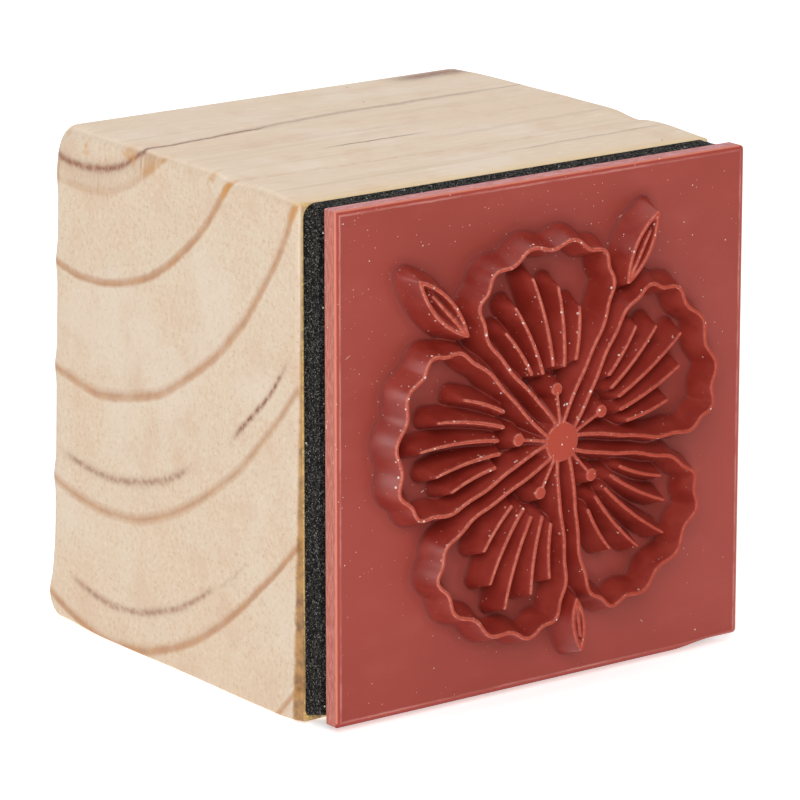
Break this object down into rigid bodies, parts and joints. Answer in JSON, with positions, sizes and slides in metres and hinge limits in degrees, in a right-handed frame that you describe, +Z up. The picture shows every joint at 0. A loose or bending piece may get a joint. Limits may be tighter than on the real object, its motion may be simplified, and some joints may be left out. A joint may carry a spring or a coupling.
{
  "type": "wood-mounted rubber stamp",
  "caption": "Wood-mounted rubber stamp: a moulded softwood block, a thin black foam cushion and a red rubber die with a raised line drawing of a plain flower.",
  "frame": {"origin": "middle of the underside of the bounding box, with the stamp standing on one long side of its block", "axes": "+Z up, X along the wood's grain and the die's width, the printing face looks towards -Y and the hand face towards +Y"},
  "size_m": [0.032, 0.0331, 0.0328],
  "materials": {
    "wood": "sanded, unvarnished softwood",
    "adhesive": "translucent transfer film",
    "foam": "closed-cell foam, matte, fine cells",
    "red_rubber": "moulded brick-red rubber, satin"
  },
  "bodies": {
    "block": {"wood_block": "wood", "block_adhesive": "adhesive", "foam_cushion": "foam"},
    "die": {"die_adhesive": "adhesive", "rubber_die": "red_rubber"}
  },
  "joints": [
    {"name": "cushion_squash", "type": "slide", "parent": "block", "child": "die", "axis": [0, 1, 0], "range_m": [0, 0.0005], "stiffness_N_per_m": 60000, "deforming": ["foam_cushion"]}
  ]
}
